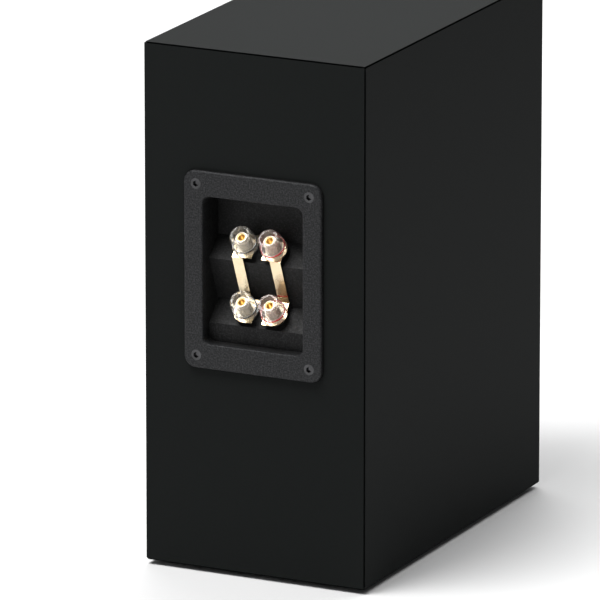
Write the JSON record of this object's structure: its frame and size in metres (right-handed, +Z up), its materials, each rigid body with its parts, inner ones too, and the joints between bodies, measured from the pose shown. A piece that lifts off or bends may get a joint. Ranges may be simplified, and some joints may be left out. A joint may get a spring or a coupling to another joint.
{
  "type": "bookshelf speaker",
  "caption": "Small two-way loudspeaker: mitred box, coned woofer, dome tweeter, flared port and a recessed rear terminal cup with screw-down binding posts and jumper links.",
  "frame": {"origin": "centre of the footprint at the underside of the feet", "axes": "+Z up, front baffle towards -Y, terminal cup towards +Y"},
  "size_m": [0.15, 0.2665, 0.333],
  "materials": {
    "black_vinyl_board": "satin black vinyl wrap on fibreboard",
    "brace_board": "raw fibreboard",
    "black_rubber": "matt",
    "black_foam": "matt closed-cell foam",
    "port_plastic": "fine texture",
    "socket_plastic": "satin",
    "wadding_fibre": "loose fibre",
    "basket_metal": "satin black",
    "cone_paper": "matt coated pulp",
    "dust_cap_paper": "satin",
    "spider_cloth": "impregnated cloth",
    "coil_copper": "enamelled copper wire",
    "zinc_steel": "zinc plated",
    "ferrite": "matt ceramic",
    "black_steel": "black oxide",
    "faceplate_plastic": "satin",
    "dome_silk": "coated silk",
    "cup_abs": "fine moulded texture",
    "gold_brass": "gold plated",
    "collar_plastic": "satin black",
    "ring_black": "gloss",
    "ring_red": "gloss",
    "cap_clear": "clear polycarbonate",
    "tin_plate": "tinned",
    "board_fibreglass": "phenolic laminate",
    "capacitor_film": "gloss sleeve",
    "resistor_ceramic": "matt cement",
    "lead_jacket": "satin vinyl jacket"
  },
  "bodies": {
    "cabinet": {"panel_top": "black_vinyl_board", "panel_bottom": "black_vinyl_board", "panel_left": "black_vinyl_board", "panel_right": "black_vinyl_board", "front_baffle": "black_vinyl_board", "back_panel": "black_vinyl_board", "window_brace": "brace_board", "rubber_feet": "black_rubber", "grille_sockets": "socket_plastic", "port_tube": "port_plastic", "damping_wadding": "wadding_fibre", "woofer_basket": "basket_metal", "woofer_gasket": "black_rubber", "woofer_surround": "black_rubber", "woofer_spider": "spider_cloth", "woofer_top_plate": "zinc_steel", "woofer_magnet": "ferrite", "woofer_yoke": "zinc_steel", "woofer_screws": "black_steel", "tweeter_faceplate": "faceplate_plastic", "tweeter_surround": "dome_silk", "tweeter_top_plate": "zinc_steel", "tweeter_magnet": "ferrite", "tweeter_yoke": "zinc_steel", "tweeter_screws": "black_steel", "terminal_cup": "cup_abs", "terminal_gasket": "black_foam", "terminal_screws": "black_steel", "post_shafts": "gold_brass", "post_collars": "collar_plastic", "post_nuts": "gold_brass", "solder_lugs": "tin_plate", "crossover_board": "board_fibreglass", "crossover_standoffs": "socket_plastic", "crossover_coils": "coil_copper", "crossover_capacitors": "capacitor_film", "crossover_resistors": "resistor_ceramic", "input_leads": "lead_jacket", "woofer_leads": "lead_jacket", "tweeter_leads": "lead_jacket"},
    "woofer_moving_cone": {"woofer_cone": "cone_paper", "woofer_dust_cap": "dust_cap_paper", "woofer_voice_coil": "coil_copper"},
    "tweeter_moving_dome": {"tweeter_dome": "dome_silk", "tweeter_voice_coil": "coil_copper"},
    "ring_upper_black": {"post_ring_upper_black": "ring_black"},
    "cap_upper_black": {"post_cap_upper_black": "cap_clear", "post_insert_upper_black": "gold_brass"},
    "ring_upper_red": {"post_ring_upper_red": "ring_red"},
    "cap_upper_red": {"post_cap_upper_red": "cap_clear", "post_insert_upper_red": "gold_brass"},
    "ring_lower_black": {"post_ring_lower_black": "ring_black"},
    "cap_lower_black": {"post_cap_lower_black": "cap_clear", "post_insert_lower_black": "gold_brass"},
    "ring_lower_red": {"post_ring_lower_red": "ring_red"},
    "cap_lower_red": {"post_cap_lower_red": "cap_clear", "post_insert_lower_red": "gold_brass"},
    "link_black": {"jumper_link_black": "gold_brass"},
    "link_red": {"jumper_link_red": "gold_brass"}
  },
  "joints": [
    {"name": "woofer_cone_slide", "type": "slide", "parent": "cabinet", "child": "woofer_moving_cone", "axis": [0, 1, 0], "range_m": [-0.004, 0.004], "stiffness_N_per_m": 1000, "deforming": ["woofer_surround", "woofer_spider"]},
    {"name": "tweeter_dome_slide", "type": "slide", "parent": "cabinet", "child": "tweeter_moving_dome", "axis": [0, 1, 0], "range_m": [-0.0003, 0.0003], "stiffness_N_per_m": 2000, "deforming": ["tweeter_surround"]},
    {"name": "cap_upper_black_travel", "type": "slide", "parent": "cabinet", "child": "ring_upper_black", "axis": [0, 0.7071, 0.7071], "range_m": [0, 0.005]},
    {"name": "cap_upper_black_turn", "type": "hinge", "parent": "ring_upper_black", "child": "cap_upper_black", "pos_m": [0.00953, 0.117, 0.2062], "axis": [0, 0.7071, 0.7071], "range_deg": [0, 1800.5]},
    {"name": "cap_upper_red_travel", "type": "slide", "parent": "cabinet", "child": "ring_upper_red", "axis": [0, 0.7071, 0.7071], "range_m": [0, 0.005]},
    {"name": "cap_upper_red_turn", "type": "hinge", "parent": "ring_upper_red", "child": "cap_upper_red", "pos_m": [-0.00953, 0.117, 0.2062], "axis": [0, 0.7071, 0.7071], "range_deg": [0, 1800.5]},
    {"name": "cap_lower_black_travel", "type": "slide", "parent": "cabinet", "child": "ring_lower_black", "axis": [0, 0.7071, 0.7071], "range_m": [0, 0.005]},
    {"name": "cap_lower_black_turn", "type": "hinge", "parent": "ring_lower_black", "child": "cap_lower_black", "pos_m": [0.00953, 0.117, 0.1652], "axis": [0, 0.7071, 0.7071], "range_deg": [0, 1800.5]},
    {"name": "cap_lower_red_travel", "type": "slide", "parent": "cabinet", "child": "ring_lower_red", "axis": [0, 0.7071, 0.7071], "range_m": [0, 0.005]},
    {"name": "cap_lower_red_turn", "type": "hinge", "parent": "ring_lower_red", "child": "cap_lower_red", "pos_m": [-0.00953, 0.117, 0.1652], "axis": [0, 0.7071, 0.7071], "range_deg": [0, 1800.5]},
    {"name": "link_black_slide", "type": "slide", "parent": "cabinet", "child": "link_black", "axis": [1, 0, 0], "range_m": [0, 0.012]},
    {"name": "link_red_slide", "type": "slide", "parent": "cabinet", "child": "link_red", "axis": [-1, 0, 0], "range_m": [0, 0.012]}
  ],
  "couplings": [
    {"joint": "cap_upper_black_turn", "follows": "cap_upper_black_travel", "rad_per_m": 6283.2},
    {"joint": "cap_upper_red_turn", "follows": "cap_upper_red_travel", "rad_per_m": 6283.2},
    {"joint": "cap_lower_black_turn", "follows": "cap_lower_black_travel", "rad_per_m": 6283.2},
    {"joint": "cap_lower_red_turn", "follows": "cap_lower_red_travel", "rad_per_m": 6283.2}
  ]
}
